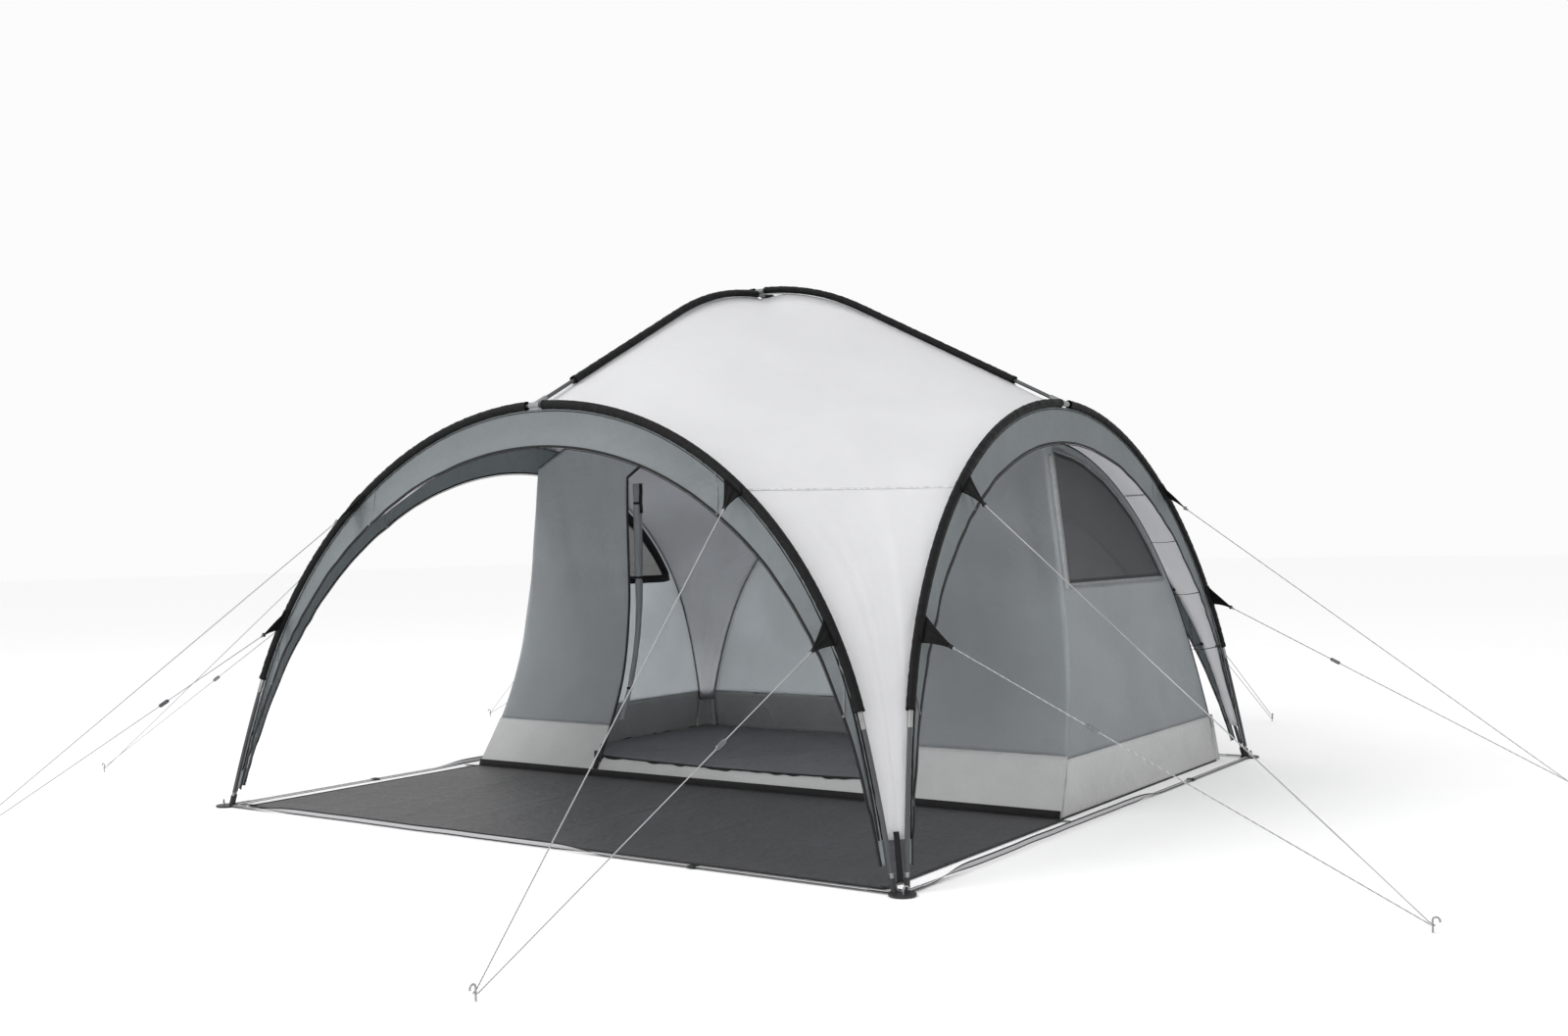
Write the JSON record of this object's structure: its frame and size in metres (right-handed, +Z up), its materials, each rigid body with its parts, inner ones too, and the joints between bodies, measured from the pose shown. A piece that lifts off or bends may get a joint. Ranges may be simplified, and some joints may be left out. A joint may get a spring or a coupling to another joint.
{
  "type": "tarp shelter",
  "caption": "Arched tarp shelter with a stretched four-quarter canopy on crossing poles, open porch, and a hung inner tent with a roll-back door, mesh windows and guy lines.",
  "frame": {"origin": "centre of the square footprint, on the ground", "axes": "+Z up, -Y out of the open porch side, +X to the right seen from the porch side"},
  "size_m": [6.6032, 6.6032, 2.3709],
  "materials": {
    "pole_steel": "dark grey powder coat, satin",
    "bright_steel": "bare plated steel, satin",
    "elastic_cord": "black elastic cord",
    "grey_plastic": "moulded grey nylon",
    "black_plastic": "moulded black nylon",
    "peg_steel": "galvanised round wire, satin",
    "black_webbing": "woven black webbing",
    "canopy_fabric": "coated off-white polyester, fine plain weave",
    "sleeve_fabric": "black polyester pole sleeve",
    "band_fabric": "grey polyester, fine plain weave",
    "zip_coil": "black coil zip",
    "guy_cord": "light grey braided cord",
    "runner_alloy": "anodised light alloy",
    "groundsheet_fabric": "dark grey coated woven sheet",
    "tub_fabric": "light grey coated polyester, dark coated floor",
    "inner_fabric": "mid grey breathable polyester",
    "mesh_fabric": "fine dark insect mesh"
  },
  "bodies": {
    "shelter": {"arch_pole_front": "pole_steel", "arch_pole_right": "pole_steel", "arch_pole_rear": "pole_steel", "arch_pole_left": "pole_steel", "ridge_pole_side_to_side": "pole_steel", "ridge_pole_front_to_rear": "pole_steel", "pole_ferrules": "bright_steel", "pole_shock_cords": "elastic_cord", "pole_tips": "bright_steel", "apex_hubs": "grey_plastic", "peak_clip": "grey_plastic", "corner_feet": "black_plastic", "corner_pegs": "peg_steel", "corner_webbing": "black_webbing", "ground_straps": "black_webbing", "canopy_front_right": "canopy_fabric", "canopy_rear_right": "canopy_fabric", "canopy_rear_left": "canopy_fabric", "canopy_front_left": "canopy_fabric", "arch_sleeves": "sleeve_fabric", "ridge_sleeves": "sleeve_fabric", "band_front": "band_fabric", "band_right": "band_fabric", "band_rear": "band_fabric", "band_left": "band_fabric", "band_zips": "zip_coil", "guy_tabs": "black_webbing", "line_front_right": "guy_cord", "line_front_left": "guy_cord", "line_right_rear": "guy_cord", "line_right_front": "guy_cord", "line_rear_left": "guy_cord", "line_rear_right": "guy_cord", "line_left_front": "guy_cord", "line_left_rear": "guy_cord", "guy_pegs": "peg_steel", "groundsheet": "groundsheet_fabric", "inner_floor": "tub_fabric", "inner_front_wall": "inner_fabric", "inner_rear_wall": "inner_fabric", "inner_left_wall": "inner_fabric", "inner_right_wall": "inner_fabric", "inner_ceiling": "inner_fabric", "window_mesh_left": "mesh_fabric", "window_mesh_right": "mesh_fabric", "door_roll": "inner_fabric", "inner_hooks": "elastic_cord"},
    "runner_front_right": {"runner_front_right": "runner_alloy"},
    "runner_front_left": {"runner_front_left": "runner_alloy"},
    "runner_right_rear": {"runner_right_rear": "runner_alloy"},
    "runner_right_front": {"runner_right_front": "runner_alloy"},
    "runner_rear_left": {"runner_rear_left": "runner_alloy"},
    "runner_rear_right": {"runner_rear_right": "runner_alloy"},
    "runner_left_front": {"runner_left_front": "runner_alloy"},
    "runner_left_rear": {"runner_left_rear": "runner_alloy"},
    "strap_adjuster_front": {"strap_adjuster_front": "black_plastic"},
    "strap_adjuster_right": {"strap_adjuster_right": "black_plastic"},
    "strap_adjuster_rear": {"strap_adjuster_rear": "black_plastic"},
    "strap_adjuster_left": {"strap_adjuster_left": "black_plastic"},
    "door_zip_slider": {"door_zip_slider": "black_plastic"}
  },
  "joints": [
    {"name": "runner_front_right_slide", "type": "slide", "parent": "shelter", "child": "runner_front_right", "axis": [0.0179, 0.8936, 0.4486], "range_m": [-0.98, 0.47]},
    {"name": "runner_front_left_slide", "type": "slide", "parent": "shelter", "child": "runner_front_left", "axis": [-0.0179, 0.8936, 0.4486], "range_m": [-0.98, 0.47]},
    {"name": "runner_right_rear_slide", "type": "slide", "parent": "shelter", "child": "runner_right_rear", "axis": [-0.8936, 0.0179, 0.4486], "range_m": [-0.98, 0.47]},
    {"name": "runner_right_front_slide", "type": "slide", "parent": "shelter", "child": "runner_right_front", "axis": [-0.8936, -0.0179, 0.4486], "range_m": [-0.98, 0.47]},
    {"name": "runner_rear_left_slide", "type": "slide", "parent": "shelter", "child": "runner_rear_left", "axis": [-0.0179, -0.8936, 0.4486], "range_m": [-0.98, 0.47]},
    {"name": "runner_rear_right_slide", "type": "slide", "parent": "shelter", "child": "runner_rear_right", "axis": [0.0179, -0.8936, 0.4486], "range_m": [-0.98, 0.47]},
    {"name": "runner_left_front_slide", "type": "slide", "parent": "shelter", "child": "runner_left_front", "axis": [0.8936, -0.0179, 0.4486], "range_m": [-0.98, 0.47]},
    {"name": "runner_left_rear_slide", "type": "slide", "parent": "shelter", "child": "runner_left_rear", "axis": [0.8936, 0.0179, 0.4486], "range_m": [-0.98, 0.47]},
    {"name": "strap_adjuster_front_slide", "type": "slide", "parent": "shelter", "child": "strap_adjuster_front", "axis": [1, 0, 0], "range_m": [-0.25, 0.55]},
    {"name": "strap_adjuster_right_slide", "type": "slide", "parent": "shelter", "child": "strap_adjuster_right", "axis": [0, 1, 0], "range_m": [-0.25, 0.55]},
    {"name": "strap_adjuster_rear_slide", "type": "slide", "parent": "shelter", "child": "strap_adjuster_rear", "axis": [-1, 0, 0], "range_m": [-0.25, 0.55]},
    {"name": "strap_adjuster_left_slide", "type": "slide", "parent": "shelter", "child": "strap_adjuster_left", "axis": [0, -1, 0], "range_m": [-0.25, 0.55]},
    {"name": "door_zip_slide", "type": "slide", "parent": "shelter", "child": "door_zip_slider", "axis": [0, 0, 1], "range_m": [-0.08, 0.42]}
  ]
}
